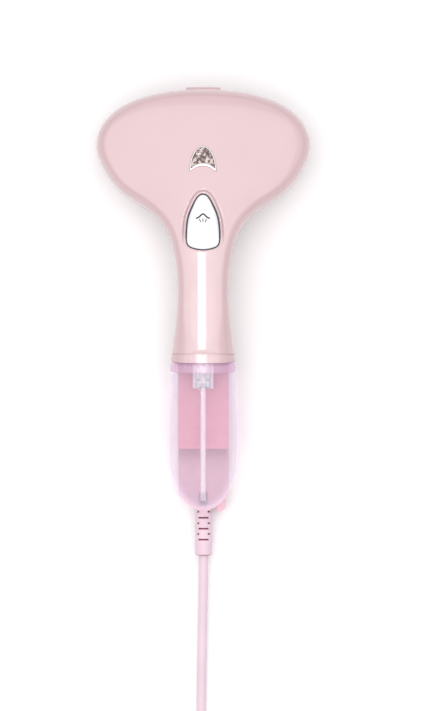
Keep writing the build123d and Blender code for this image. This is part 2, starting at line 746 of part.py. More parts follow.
with BuildPart() as tank_lid:
    add(tank_outer.part)
    add(tank_inner.part, mode=Mode.SUBTRACT)
    split(bisect_by=lid_plane, keep=Keep.TOP)
    with BuildSketch(Plane.XZ.offset(35)):
        with Locations((0, NOZZLE_Z)):
            Circle(CAP_R + 0.05)
    extrude(amount=25, mode=Mode.SUBTRACT)
save(tank_lid, "tank_lid")

cap_place = (0, CAP_TOP, NOZZLE_Z)
with BuildPart() as tank_cap:
    wall = [(4.2, 0), (CAP_R, 0), (CAP_R, CAP_LENGTH), (1.0, CAP_LENGTH), (1.0, CAP_LENGTH - 1.2)]
    seat = [(3.9, CAP_LENGTH - 1.2), (3.9, 12.2), (2, 12.2), (2, 10.7), (4.2, 10.7)]
    add(turned(wall + seat, cap_place, BACK))
save(tank_cap, "tank_cap")

with BuildPart() as valve_poppet:
    add(turned([(0, 9.6), (1.3, 9.6), (1.3, 13), (3, 13), (3, 14), (0, 14)], cap_place, BACK))
save(valve_poppet, "valve_poppet")

with BuildPart() as valve_spring:
    add(spring_along((0, CAP_TOP - CAP_LENGTH + 1.5, NOZZLE_Z), AHEAD, 2.4, 0.25, 2.2, 1.8))
save(valve_spring, "valve_spring")

with BuildPart() as straw:
    side = [(1.2, CAP_LENGTH), (STRAW_R, CAP_LENGTH), (STRAW_R, STRAW_END), (1.2, STRAW_END)]
    add(turned(side, cap_place, BACK))
save(straw, "straw")

with BuildPart() as straw_filter:
    bore = STRAW_R + 0.05
    cup = [(bore, 89), (3.1, 89), (3.1, 98), (0, 98), (0, 96.5), (bore, 96.5)]
    add(turned(cup, cap_place, BACK))
save(straw_filter, "straw_filter")

# ---- Wires inside ----
with BuildPart() as internal_wires:
    add(tube_along([(0, -88.2, CORD_Z), (0, -70, CORD_Z), (0, -58, 20), (0, -30.5, 20)], 3, 7))
    for x in (-13, 13):
        route = [(x, -14, 39.4), (x, 40, 36), (x, 61, 17), (x * 0.93, 77.3, 17), (x * 0.93, 77.3, 9.2)]
        add(tube_along(route, 0.9, 5))
save(internal_wires, "internal_wires")


# ---- Cord ----
def corner_radii(points):
    """For each corner, 0.45 of its shorter run divided by the tangent of half its turn."""
    radii = []
    for before, corner, after in zip(points, points[1:], points[2:]):
        into = Vector(*corner) - Vector(*before)
        out = Vector(*after) - Vector(*corner)
        radii.append(0.45 * min(into.length, out.length) / tan(radians(into.get_angle(out)) / 2))
    return radii


LEAD = [
    (0, RELIEF_END, CORD_Z), (-0.3, -203, 7.8), (-1.0, -236, 5.0), (-1.6, -272, 3.4),
    (-1.9, -310, 3.25), (-2.0, -349, 3.35),
]
TAIL = [
    (-23.6, -324.4, 20.5), (-2, -328.2, 18.5), (19, -336, 16.6), (35, -349, 16.6), (43.3, -367, 17.8),
    (PLUG_X, PLUG_Y, PLUG_Z),
]

for route, name in ((LEAD, "cord_lead"), (TAIL, "cord_tail")):
    radii = corner_radii(route)
    print(name, "radii", [round(r) for r in radii])
    with BuildPart() as cord:
        with BuildLine() as path:
            FilletPolyline(*route, radius=radii)
        with BuildSketch(Plane(origin=path.line @ 0, z_dir=path.line % 0)):
            Circle(CORD_R)
        sweep(path=path.line)
    run = sum(edge.length for edge in path.edges())
    print(name, "length", round(run, 1), "volume ratio", cord.part.volume / (run * pi * CORD_R**2))
    save(cord, name)

with BuildPart() as cord_coil:
    with BuildSketch(Plane.XY.offset(TIE)):
        with Locations((COIL_X, COIL_Y)):
            Circle(COIL_R + COIL_HALF)
            Circle(COIL_R - COIL_HALF, mode=Mode.SUBTRACT)
    extrude(amount=2 * COIL_HALF)
save(cord_coil, "cord_coil")

with BuildPart() as cord_tie:
    with BuildSketch(Plane.XZ.offset(-COIL_Y - 6)):
        with Locations((COIL_X - COIL_R, TIE + COIL_HALF)):
            RectangleRounded(2 * COIL_HALF + 2 * TIE, 2 * COIL_HALF + 2 * TIE, 1)
    extrude(amount=12)
    add(cord_coil.part, mode=Mode.SUBTRACT)
save(cord_tie, "cord_tie")

with BuildPart() as plug_body:
    sleeve = [(0, 0), (5, 0), (6.4, 20), (10, 26), (15.5, 31)]
    handle = [(PLUG_R, 36), (PLUG_R, 60), (PLUG_R - 0.7, PLUG_FACE), (0, PLUG_FACE)]
    add(turned(sleeve + handle, (PLUG_X, PLUG_Y, PLUG_Z), BACK))
save(plug_body, "plug_body")

with BuildPart() as plug_pins:
    for x in (-9.5, 9.5):
        pin = [(0, PLUG_FACE), (PIN_R, PLUG_FACE), (PIN_R, 78.5), (PIN_R / 2, 80), (0, 80)]
        add(turned(pin, (PLUG_X + x, PLUG_Y, PLUG_Z), BACK))
save(plug_pins, "plug_pins")
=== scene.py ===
"""Looks of a handheld garment steamer, lying on its sole plate with its coiled mains cord."""

import json
from math import cos, pi, radians, sin

import bmesh
import bpy
import numpy as np
from mathutils import Matrix, Vector
from mathutils.geometry import delaunay_2d_cdt


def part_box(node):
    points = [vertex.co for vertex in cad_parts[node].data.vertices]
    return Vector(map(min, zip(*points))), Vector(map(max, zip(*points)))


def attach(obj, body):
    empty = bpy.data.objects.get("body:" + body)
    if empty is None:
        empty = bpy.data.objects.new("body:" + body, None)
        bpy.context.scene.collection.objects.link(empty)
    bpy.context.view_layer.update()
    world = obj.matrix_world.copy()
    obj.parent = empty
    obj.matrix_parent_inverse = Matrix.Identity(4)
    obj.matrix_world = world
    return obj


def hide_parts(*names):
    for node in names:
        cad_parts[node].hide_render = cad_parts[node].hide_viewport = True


MM = 0.001
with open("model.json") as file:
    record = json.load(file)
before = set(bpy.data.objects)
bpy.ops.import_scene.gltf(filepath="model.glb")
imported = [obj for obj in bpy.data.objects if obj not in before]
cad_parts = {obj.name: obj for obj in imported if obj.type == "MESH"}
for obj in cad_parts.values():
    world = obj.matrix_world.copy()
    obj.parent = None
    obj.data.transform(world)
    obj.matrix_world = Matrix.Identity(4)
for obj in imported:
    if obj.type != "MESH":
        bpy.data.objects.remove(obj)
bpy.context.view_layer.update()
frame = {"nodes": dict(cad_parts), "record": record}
nodes = frame["nodes"]


# ---- Small helpers ----
def smooth(t):
    """Eases from 0 to 1, for a number or an array."""
    t = np.clip(t, 0, 1)
    return t * t * (3 - 2 * t)


def piece(name, bm):
    """A new mesh object from a bmesh."""
    mesh = bpy.data.meshes.new(name)
    bm.to_mesh(mesh)
    bm.free()
    made = bpy.data.objects.new(name, mesh)
    bpy.context.scene.collection.objects.link(made)
    for polygon in mesh.polygons:
        polygon.use_smooth = True
    return made


def finish_piece(made, body, slot, material, *replaced):
    """Puts a piece on its body, with its material, in place of CAD nodes."""
    made.data.materials.clear()
    made.data.materials.append(material)
    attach(made, body)
    if replaced:
        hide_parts(*replaced)


# ---- Materials ----
def shader(name):
    """A new node material, its node tree and its main shader."""
    made = bpy.data.materials.new(name)
    made.use_nodes = True
    tree = made.node_tree
    return made, tree, tree.nodes["Principled BSDF"]


def node(tree, kind, **values):
    """A new node with its input values set."""
    made = tree.nodes.new(kind)
    for key, value in values.items():
        made.inputs[key.replace("_", " ")].default_value = value
    return made


def noise_of(tree, scale, detail=3.0):
    """A noise texture in the object's own coordinates."""
    place = tree.nodes.new("ShaderNodeTexCoord")
    made = node(tree, "ShaderNodeTexNoise", Scale=scale, Detail=detail)
    tree.links.new(place.outputs["Object"], made.inputs["Vector"])
    return made


def ramp(tree, source, low, high, start=0.35, end=0.65):
    """A smooth change between two colours, driven by a source value."""
    made = tree.nodes.new("ShaderNodeValToRGB")
    first, last = made.color_ramp.elements
    first.position, first.color = start, (*low, 1)
    last.position, last.color = end, (*high, 1)
    tree.links.new(source, made.inputs["Fac"])
    return made.outputs["Color"]


def bump_from(tree, bsdf, source, strength, distance=0.05 * MM):
    """Bump on a shader from a source value."""
    made = node(tree, "ShaderNodeBump", Strength=strength, Distance=distance)
    tree.links.new(source, made.inputs["Height"])
    tree.links.new(made.outputs["Normal"], bsdf.inputs["Normal"])


def moulded(name, colour, roughness=0.3, coat=0.0, vary=0.03, grain=900.0, relief=0.1, sheen=0.0):
    """A moulded plastic or rubber: slight flow marks in its colour, uneven gloss and a fine surface grain."""
    made, tree, bsdf = shader(name)
    flow = noise_of(tree, 28.0, 4.0)
    low = [c * (1 - vary) for c in colour]
    high = [min(1.0, c * (1 + vary)) for c in colour]
    tree.links.new(ramp(tree, flow.outputs["Fac"], low, high), bsdf.inputs["Base Color"])
    smudge = noise_of(tree, 75.0, 5.0)
    rough = ramp(tree, smudge.outputs["Fac"], [roughness * 0.85] * 3, [min(1.0, roughness * 1.2)] * 3)
    tree.links.new(rough, bsdf.inputs["Roughness"])
    bump_from(tree, bsdf, noise_of(tree, grain, 2.0).outputs["Fac"], relief)
    bsdf.inputs["Coat Weight"].default_value = coat
    bsdf.inputs["Coat Roughness"].default_value = 0.04
    bsdf.inputs["Sheen Weight"].default_value = sheen
    return made


def metal(name, colour, roughness, stretch=(1, 1, 1), scale=400.0, relief=0.15):
    """A metal with a brushed, cast or polished surface."""
    made, tree, bsdf = shader(name)
    place = tree.nodes.new("ShaderNodeTexCoord")
    mapping = node(tree, "ShaderNodeMapping", Scale=stretch)
    tree.links.new(place.outputs["Object"], mapping.inputs["Vector"])
    grain = node(tree, "ShaderNodeTexNoise", Scale=scale, Detail=4.0)
    tree.links.new(mapping.outputs["Vector"], grain.inputs["Vector"])
    low = [c * 0.85 for c in colour]
    tree.links.new(ramp(tree, grain.outputs["Fac"], low, colour), bsdf.inputs["Base Color"])
    rough = ramp(tree, grain.outputs["Fac"], [roughness * 0.8] * 3, [roughness * 1.3] * 3)
    tree.links.new(rough, bsdf.inputs["Roughness"])
    bsdf.inputs["Metallic"].default_value = 1.0
    bump_from(tree, bsdf, grain.outputs["Fac"], relief, 0.04 * MM)
    return made


def clear(name, colour, roughness):
    """A solid see-through plastic, with a faint unevenness."""
    made, tree, bsdf = shader(name)
    flow = noise_of(tree, 40.0, 3.0)
    low = [c * 0.96 for c in colour]
    tree.links.new(ramp(tree, flow.outputs["Fac"], low, colour), bsdf.inputs["Base Color"])
    rough = ramp(tree, flow.outputs["Fac"], [roughness * 0.8] * 3, [roughness * 1.2] * 3)
    tree.links.new(rough, bsdf.inputs["Roughness"])
    bsdf.inputs["Transmission Weight"].default_value = 1.0
    bsdf.inputs["IOR"].default_value = 1.45
    return made


def veil(name, colour, facing, edge, painted_glow, roughness=0.2):
    """A thin see-through plastic wall, that hides more where it is seen at a slant and glows faintly in its
    own colour: painted light for what its plastic scatters.
    """
    made = moulded(name, colour, roughness, coat=0.5, grain=600.0, relief=0.15)
    tree = made.node_tree
    bsdf = tree.nodes["Principled BSDF"]
    slant = node(tree, "ShaderNodeLayerWeight", Blend=0.35)
    opaque = node(tree, "ShaderNodeMapRange")
    opaque.inputs["To Min"].default_value = facing
    opaque.inputs["To Max"].default_value = edge
    tree.links.new(slant.outputs["Facing"], opaque.inputs["Value"])
    tree.links.new(opaque.outputs["Result"], bsdf.inputs["Alpha"])
    # Painted light: the wall glows in its own colour.
    bsdf.inputs["Emission Color"].default_value = (*colour, 1)
    bsdf.inputs["Emission Strength"].default_value = painted_glow
    return made


def faceted(name, dark, light):
    """A cut window over a dark space: a dark smoky tint, with patches painted a lighter tone for what its
    facets reflect: painted reflections.
    """
    made, tree, bsdf = shader(name)
    place = tree.nodes.new("ShaderNodeTexCoord")
    cells = node(tree, "ShaderNodeTexVoronoi", Scale=560.0)
    tree.links.new(place.outputs["Object"], cells.inputs["Vector"])
    tree.links.new(ramp(tree, cells.outputs["Color"], dark, light, 0.4, 0.7), bsdf.inputs["Base Color"])
    bsdf.inputs["Roughness"].default_value = 0.12
    bsdf.inputs["Coat Weight"].default_value = 0.6
    bump_from(tree, bsdf, noise_of(tree, 900.0, 2.0).outputs["Fac"], 0.1)
    return made


def two_tone(made, driver, other, low, high):
    """Gives a material another colour where the driver is low; it keeps its own where that is high."""
    tree = made.node_tree
    bsdf = tree.nodes["Principled BSDF"]
    own = bsdf.inputs["Base Color"].links[0].from_socket
    share = node(tree, "ShaderNodeMapRange")
    share.inputs["From Min"].default_value = low
    share.inputs["From Max"].default_value = high
    mix = tree.nodes.new("ShaderNodeMix")
    mix.data_type = "RGBA"
    factor, first, second, result = mix.inputs[0], mix.inputs[6], mix.inputs[7], mix.outputs[2]
    first.default_value = (*other, 1)
    tree.links.new(driver, share.inputs["Value"])
    tree.links.new(share.outputs["Result"], factor)
    tree.links.new(own, second)
    tree.links.new(result, bsdf.inputs["Base Color"])
    return made


def gloss_with_painted_slope_shade(name, colour, slope_shade_colour):
    """A glossy plastic whose colour is painted greyer where its surface slopes away: painted shade."""
    made = moulded(name, colour, 0.18, coat=0.8, vary=0.01)
    tree = made.node_tree
    slant = node(tree, "ShaderNodeLayerWeight", Blend=0.5)
    return two_tone(made, slant.outputs["Facing"], slope_shade_colour, 0.05, 0.006)


def along(made, axis):
    """The object's own x, y or z in a material, as a driver."""
    tree = made.node_tree
    place = tree.nodes.new("ShaderNodeTexCoord")
    split = tree.nodes.new("ShaderNodeSeparateXYZ")
    tree.links.new(place.outputs["Object"], split.inputs["Vector"])
    return split.outputs[axis]


def round_y(made, height):
    """The distance from a line along y at a height, as a driver."""
    tree = made.node_tree
    place = tree.nodes.new("ShaderNodeTexCoord")
    flat = node(tree, "ShaderNodeMapping", Location=(0, 0, -height), Scale=(1, 0, 1))
    tree.links.new(place.outputs["Object"], flat.inputs["Vector"])
    length = tree.nodes.new("ShaderNodeVectorMath")
    length.operation = "LENGTH"
    tree.links.new(flat.outputs["Vector"], length.inputs[0])
    return length.outputs["Value"]


PINK = (0.59, 0.415, 0.436)
MATERIALS = {
    "pink_gloss": moulded("pink_gloss_plastic", PINK, 0.22, coat=0.6, vary=0.012, relief=0.03),
    "pink_deep": moulded("pink_deep_plastic", (0.84, 0.46, 0.55), 0.4),
    # The button's white is painted grey-blue on its slopes: painted shade.
    "pearl_white": gloss_with_painted_slope_shade("white_plastic_painted_slope_shade", (0.86, 0.86, 0.87), (0.70, 0.72, 0.76)),
    "silver_trim": metal("silver_trim_satin", (0.90, 0.88, 0.89), 0.35, scale=900.0, relief=0.03),
    # The window's lighter patches are painted reflections over its own dark tint.
    "smoked_clear": faceted("smoked_window_painted_reflections", (0.10, 0.055, 0.055), (0.62, 0.50, 0.46)),
    # The see-through plastics glow a little in their own colours: painted light.
    "tank_lilac": veil("tank_lilac_plastic", (0.75, 0.61, 0.77), 0.05, 0.62, 0.2),
    "clear_plastic": veil("clear_plastic", (0.88, 0.85, 0.91), 0.2, 0.95, 0.16, roughness=0.12),
    "dark_plastic": moulded("dark_plastic", (0.035, 0.035, 0.04), 0.5),
    "white_plastic": moulded("white_plastic", (0.82, 0.81, 0.80), 0.4),
    "cord_pink": moulded("cord_pink_rubber", (0.72, 0.55, 0.625), 0.45, grain=1500.0, relief=0.2, sheen=0.1),
    "aluminium": metal("cast_aluminium", (0.80, 0.80, 0.81), 0.38, scale=700.0, relief=0.35),
    "steel": metal("brushed_steel", (0.60, 0.60, 0.62), 0.28, stretch=(1, 12, 1)),
    "brass": metal("nickel_brass", (0.80, 0.72, 0.52), 0.2),
    "silicone": moulded("silicone_rubber", (0.78, 0.75, 0.71), 0.5),
    "board_green": moulded("board_green", (0.03, 0.16, 0.07), 0.4, vary=0.2),
    "amber_led": clear("amber_led", (0.95, 0.62, 0.28), 0.1),
    "copper_wire": moulded("wire_red", (0.45, 0.06, 0.05), 0.45),
}
SLOTS = {row["node"]: row["material_slot"] for row in frame["record"]["subparts"]}
OWN_MATERIALS = {
    # The lid, straw and filter glow a little too: painted light.
    "tank_lid": veil("lid_lilac_plastic", (0.70, 0.45, 0.62), 0.28, 0.8, 0.12),
    "straw": veil("straw_plastic", (0.88, 0.76, 0.84), 0.3, 0.55, 0.3),
    "straw_filter": veil("filter_plastic", (0.90, 0.78, 0.88), 0.04, 0.2, 0.6),
    # The dock's deeper pink inside the tank is painted light from the tank's walls.
    "tank_dock": moulded("dock_pink_plastic", (0.97, 0.46, 0.56), 0.25, coat=0.4, vary=0.015, relief=0.03),
    "release_tab": moulded("tab_pink_plastic", (0.80, 0.50, 0.58), 0.3, vary=0.02),
}
# Painted light on the dock: inside the tank its pink is painted deeper, for the light that the tank's walls
# throw back, and its lowest part is painted lighter against the shade it lies in.
dock = OWN_MATERIALS["tank_dock"]
tank_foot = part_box("tank_shell")[0].z
two_tone(dock, along(dock, "Z"), (0.94, 0.63, 0.70), tank_foot + 0.001, tank_foot + 0.006)
two_tone(dock, along(dock, "Y"), PINK, -0.046, -0.053)
for name, slot in SLOTS.items():
    nodes[name].data.materials.clear()
    nodes[name].data.materials.append(OWN_MATERIALS.get(name, MATERIALS[slot]))


# ---- Curves, filled plans and skins, in millimetres ----
def curve_through(points, first, last, count):
    """Evenly spaced points on a smooth curve through points, with its directions at both ends."""
    p = np.array(points, float)
    runs = np.linalg.norm(np.diff(p, axis=0), axis=1)
    rows = np.eye(len(p))
    sides = np.array([first] + [(0, 0)] * (len(p) - 2) + [last], float)
    for i in range(1, len(p) - 1):
        before, after = runs[i - 1], runs[i]
        rows[i, i - 1 : i + 2] = after, 2 * (before + after), before
        sides[i] = 3 * (after * (p[i] - p[i - 1]) / before + before * (p[i + 1] - p[i]) / after)
    slopes = np.linalg.solve(rows, sides)
    fine = []
    for i, run in enumerate(runs):
        for t in np.linspace(0, 1, 40, endpoint=i == len(runs) - 1):
            fine.append(
                (2 * t**3 - 3 * t**2 + 1) * p[i] + (t**3 - 2 * t**2 + t) * run * slopes[i]
                + (3 * t**2 - 2 * t**3) * p[i + 1] + (t**3 - t**2) * run * slopes[i + 1]
            )
    fine = np.array(fine)
    along = np.r_[0, np.cumsum(np.linalg.norm(np.diff(fine, axis=0), axis=1))]
    places = np.linspace(0, along[-1], count)
    return np.column_stack([np.interp(places, along, fine[:, k]) for k in (0, 1)])


def mirrored(half):
    """A closed clockwise loop from its right half, whose two ends are on the middle line."""
    return np.vstack([half, (half * (-1, 1))[-2:0:-1]])


def inside(points, loop):
    """Which points lie inside a closed loop."""
    x, y = points[:, 0:1], points[:, 1:2]
    x0, y0 = loop[:, 0], loop[:, 1]
    x1, y1 = np.roll(x0, -1), np.roll(y0, -1)
    rising = (y0 > y) != (y1 > y)
    with np.errstate(divide="ignore", invalid="ignore"):
        left = x < (x1 - x0) * (y - y0) / (y1 - y0) + x0
    return (np.sum(rising & left, axis=1) % 2).astype(bool)


def away(points, loop):
    """Distance of each point from a closed loop."""
    a, b = loop, np.roll(loop, -1, axis=0)
    along = b - a
    share = np.einsum("pij,ij->pi", points[:, None] - a, along) / np.sum(along**2, axis=1)
    nearest = a + np.clip(share, 0, 1)[..., None] * along
    return np.min(np.linalg.norm(points[:, None] - nearest, axis=2), axis=1)


def filled(outer, holes, rings, spacing):
    """Triangles that fill outer except for the holes, with the rings as lines of points in between."""
    low, high = outer.min(0), outer.max(0)
    grid = np.stack(np.meshgrid(np.arange(low[0], high[0], spacing), np.arange(low[1], high[1], spacing)), -1)
    grid = grid.reshape(-1, 2)
    grid = grid[inside(grid, outer) & (away(grid, outer) > 0.6 * spacing)]
    for loop in [*holes, *rings]:
        grid = grid[away(grid, loop) > 0.6 * spacing]
    for loop in holes:
        grid = grid[~inside(grid, loop)]
    points, edges = [], []
    for loop in [outer, *holes, *rings]:
        first = len(points)
        points += [Vector(p) for p in loop]
        edges += [(first + n, first + (n + 1) % len(loop)) for n in range(len(loop))]
    points += [Vector(p) for p in grid]
    found, _, faces, *_ = delaunay_2d_cdt(points, edges, [], 0, 1e-5)
    found = np.array([tuple(v) for v in found])
    faces = np.array(faces)
    centres = found[faces].mean(axis=1)
    kept = inside(centres, outer)
    for loop in holes:
        kept &= ~inside(centres, loop)
    return found, faces[kept]


def add_fill(bm, found, faces, heights):
    """Adds a filled plan to a bmesh, at the given heights."""
    verts = {}
    for face in faces:
        corners = []
        for n in face:
            if n not in verts:
                verts[n] = bm.verts.new((found[n][0] * MM, found[n][1] * MM, heights[n] * MM))
            corners.append(verts[n])
        if (corners[1].co - corners[0].co).cross(corners[2].co - corners[0].co).z < 0:
            corners.reverse()
        bm.faces.new(corners)


def add_wall(bm, loops, closed=True):
    """Adds a skin of quads between successive loops of points with heights."""
    rows = [[bm.verts.new(Vector(p) * MM) for p in loop] for loop in loops]
    for below, above in zip(rows, rows[1:]):
        count = len(below)
        for n in range(count if closed else count - 1):
            bm.faces.new((below[n], above[n], above[(n + 1) % count], below[(n + 1) % count]))


def at_height(loop, heights):
    """A loop of plan points with heights added."""
    return np.column_stack([loop, np.broadcast_to(heights, len(loop))])


def applied(made, kind, **settings):
    """Applies one modifier to a piece."""
    modifier = made.modifiers.new(kind.lower(), kind)
    for key, value in settings.items():
        setattr(modifier, key, value)
    graph = bpy.context.evaluated_depsgraph_get()
    mesh = bpy.data.meshes.new_from_object(made.evaluated_get(graph))
    made.modifiers.clear()
    old, made.data = made.data, mesh
    bpy.data.meshes.remove(old)


def crisp(made, angle=35):
    """Smooth shading, with edges sharper than the angle kept sharp."""
    made.data.shade_smooth()
    made.data.set_sharp_from_angle(angle=radians(angle))


def closed_piece(name, bm, angle=35):
    """A piece from a finished bmesh, with doubled points joined and all faces turned outward."""
    bmesh.ops.remove_doubles(bm, verts=bm.verts, dist=1e-6)
    bmesh.ops.recalc_face_normals(bm, faces=bm.faces)
    made = piece(name, bm)
    crisp(made, angle)
    return made


def turn_ring(x, y, z, radii, angles):
    """A ring of points round a line along y, with a radius at each angle from the top."""
    return np.column_stack([x + radii * np.sin(angles), np.full(len(angles), y), z + radii * np.cos(angles)])


# ---- Shape of the covers ----
WALL = 2.2
DOCK_EDGE = 13.0  # how wide and high the dock's rounded edge is, which the cover meets
SEAM = 28.0  # height of the line where the covers meet
GRIP_END = -37.9
CROWN = 3.0  # how much lower the head's sides are than its middle
HEAD_HALF = 74.0
TOP_LINE = [(-150, 53), (-95, 56), (-38, 54), (10, 54), (55, 57), (95, 60), (150, 57)]
SIDE_LINE = [
    (0, 145.3), (29.3, 142.9), (54.2, 134.6), (69.7, 120.8), (HEAD_HALF, 106), (69.7, 91.8), (57.6, 75.2),
    (39.3, 62.8), (26.6, 50.4), (20.4, 33.8), (17.6, 8), (19.9, -24.1), (22.5, -43.4), (24.4, -75),
    (25.2, -104.2),
]
top_line = curve_through(TOP_LINE, (1, 0.05), (1, -0.12), 600)
side_line = curve_through(SIDE_LINE, (1, 0), (0, -1), 900)


def top_at(points):
    """Height of the covers' top, before its edges are rounded."""
    return np.interp(points[:, 1], top_line[:, 0], top_line[:, 1]) - CROWN * (points[:, 0] / HEAD_HALF) ** 2


SHOULDER = 2.8  # how far the head falls away in a wide strip along its edge
SHOULDER_WIDTH = 26
outline = np.vstack([side_line, (side_line * (-1, 1))[::-1]])[::6]


def change(points, start, length):
    """From 0 to 1 along the steamer, from a place on y over a length."""
    return smooth((points[:, 1] - start) / length)


def shell_top(points):
    """Height of the rear cover's top, with the soft fall towards the head's edges."""
    fall = np.clip(1 - away(points, outline) / SHOULDER_WIDTH, 0, 1) ** 2
    return top_at(points) - SHOULDER * fall * change(points, 30, 40)


def edge_width(points):
    """How far in plan the rounded edge reaches: as the dock's at its end, narrower from there on."""
    return DOCK_EDGE - 7 * change(points, GRIP_END, 35) + 0.5 * change(points, 50, 30)


def edge_height(points):
    """How far down the rounded edge reaches: as the dock's at its end, least on the grip."""
    return DOCK_EDGE - 5 * change(points, GRIP_END, 35) + 3 * change(points, 50, 30)


BUTTON_Y, WINDOW_Y = 53.0, 96.0
JOINTS = {row["name"]: row for row in frame["record"]["behaviour"]["joints"]}
_, press_y, press_z = JOINTS["button_press"]["axis"]
PRESS_SLOPE = -press_y / press_z  # the button's face is square to its travel
button_height = float(top_at(np.array([(0, BUTTON_Y)]))[0])
window_height = float(top_at(np.array([(0, WINDOW_Y)]))[0])


def button_loop(grow):
    """The button's outline, made larger by grow."""
    half = curve_through(
        [
            (0, 18.6 + grow), (6.4 + 0.75 * grow, 11.5 + 0.66 * grow), (9.6 + 0.95 * grow, 3.5 + 0.3 * grow),
            (11 + grow, -10.5), (10.9 + grow, -13.4 - 0.2 * grow), (9.8 + 0.7 * grow, -16 - 0.7 * grow),
            (7.4 + 0.2 * grow, -17.4 - grow), (4, -18.3 - grow), (0, -18.7 - grow),
        ],
        (1, 0), (-1, 0), 48,
    )
    return mirrored(half) + (0, BUTTON_Y)


def window_loop(grow, foot=0.0):
    """The window's outline, made larger by grow, with its foot moved up by foot."""
    corner = (9.1 + grow, -8.3 - grow + foot)
    arch = curve_through(
        [(0, 9.2 + grow), (6.2 + 0.8 * grow, 4.6 + 0.6 * grow), (8.5 + 0.95 * grow, -1.5), corner],
        (1, 0), (0, -1), 30,
    )
    base = curve_through(
        [corner, (4.6, -5.6 - grow + foot), (0, -4.6 - grow + foot)],
        (-0.8, 0.6), (-1, 0), 16,
    )
    return mirrored(np.vstack([arch, base[1:]])) + (0, WINDOW_Y)


# ---- Rear cover: one domed shell with a soft recess round the button ----
RECESS = 1.4
RECESS_REACH = 3.6  # from the button to the recess's outer edge
RECESS_SLOPE = 1.3  # how wide that edge is
GAP = 0.8  # between the button and the cover
BEVEL = 0.4  # along the cover's edges
BEVEL_DEPTH = 0.25  # round its openings
SPIGOT = 0.985  # how much the grip's end tapers in, to tuck against the dock


def recess_at(points):
    """Depth of the recess round the button, which fades out towards the grip."""
    beyond = away(points, button_loop(0)) * np.where(inside(points, button_loop(0)), 0, 1)
    return RECESS * smooth((RECESS_REACH - beyond) / RECESS_SLOPE) * change(points, BUTTON_Y - 18, 12)


# The right half of the cover's plan, from the head's top to the grip's end, with its inward directions
half = side_line[side_line[:, 1] > GRIP_END + 1]
half = half[np.linspace(0, len(half) - 1, 170).round().astype(int)]
for y in (GRIP_END + BEVEL, GRIP_END):
    half = np.vstack([half, (np.interp(-y, -side_line[:, 1], side_line[:, 0]), y)])
run = np.gradient(half, axis=0)
inward = np.column_stack([run[:, 1], -run[:, 0]]) / np.linalg.norm(run, axis=1)[:, None]
inward[0] = (0, -1)
# Near the grip's end the plan is pulled in sideways only, so that it stays square there
inward[:, 1] *= np.clip((half[:, 1] - GRIP_END) / 15, 0, 1)


def pulled_in(distance):
    """The cover's plan, pulled in, as an open line from the grip's left side round the head to its right."""
    moved = half + inward * np.reshape(distance, (-1, 1))
    return np.vstack([(moved * (-1, 1))[:0:-1], moved])


ROUNDING = [radians(a) for a in range(0, 91, 9)]
# The cover's skin starts with the bevel and the upright side above the seam
rings = [at_height(pulled_in(inset), SEAM + z) for inset, z in ((BEVEL, 0), (0, BEVEL), (0, 7))]
for angle in ROUNDING:
    plan = pulled_in(edge_width(half) * (1 - cos(angle)))
    rings.append(at_height(plan, shell_top(plan) - edge_height(plan) * (1 - sin(angle))))
shell = bmesh.new()
add_wall(shell, rings, closed=False)
top_plan = pulled_in(edge_width(half))
hole_rings = [button_loop(GAP + g) for g in (BEVEL, 1.0, 1.5, 2.0, 2.5, 3.0, 3.8)]
hole_rings += [window_loop(g) for g in (0.5, 1.4)]
found, faces = filled(top_plan, [button_loop(GAP), window_loop(0)], hole_rings, 2.6)
heights = shell_top(found) - recess_at(found)
near_hole = np.minimum(away(found, button_loop(GAP)), away(found, window_loop(0)))
heights -= BEVEL_DEPTH * np.clip(1 - near_hole / BEVEL, 0, 1)
add_fill(shell, found, faces, heights)
bmesh.ops.remove_doubles(shell, verts=shell.verts, dist=1e-6)
for v in shell.verts:
    if v.co.y < (GRIP_END + 0.01) * MM:
        v.co.x *= SPIGOT
        v.co.z = SEAM * MM + (v.co.z - SEAM * MM) * SPIGOT
bmesh.ops.recalc_face_normals(shell, faces=shell.faces)
rear = piece("rear_cover_shell", shell)
# The faces have to look away from the inside for the wall to grow inward
if rear.data.polygons[0].normal.dot(rear.data.polygons[0].center - Vector((0, 0.1, 0.03))) < 0:
    rear.data.flip_normals()
applied(rear, "SOLIDIFY", thickness=WALL * MM, offset=-1.0)
crisp(rear)
finish_piece(rear, "housing", "pink_gloss", MATERIALS["pink_gloss"], "rear_cover")

# ---- Button, its symbol and a dark ring down in the gap round it, as painted shade ----
BUTTON_HALF = (11, 18.7)
BUTTON_FOOT = -3.4  # the underside's level, from the cover's top at the button's middle
BUTTON_ROUND = 0.65  # how far in its rounded edge reaches


def button_level(points, rim=0.5, dome=1.5):
    """Height of the button's crowned top over the point below it."""
    x, y = points[:, 0] / BUTTON_HALF[0], (points[:, 1] - BUTTON_Y) / BUTTON_HALF[1]
    return button_height + PRESS_SLOPE * (points[:, 1] - BUTTON_Y) + rim + dome * (1 - x**2) * (1 - y**2)


button = bmesh.new()
sides = []
for grow, level in ((0, BUTTON_FOOT), (0, -1.5), (0, 0.1), (-0.08, 0.35), (-0.3, 0.52)):
    loop = button_loop(grow)
    sides.append(at_height(loop, button_level(loop, level, 0.0)))
top_loop = button_loop(-BUTTON_ROUND)
sides.append(at_height(top_loop, button_level(top_loop)))
add_wall(button, sides)
found, faces = filled(top_loop, [], [button_loop(-2)], 1.6)
add_fill(button, found, faces, button_level(found))
under, faces = filled(button_loop(0), [], [], 3.0)
add_fill(button, under, faces[:, ::-1], button_level(under, BUTTON_FOOT, 0.0))
cap = closed_piece("steam_button_cap", button, 50)
finish_piece(cap, "button", "pearl_white", MATERIALS["pearl_white"], "steam_button")


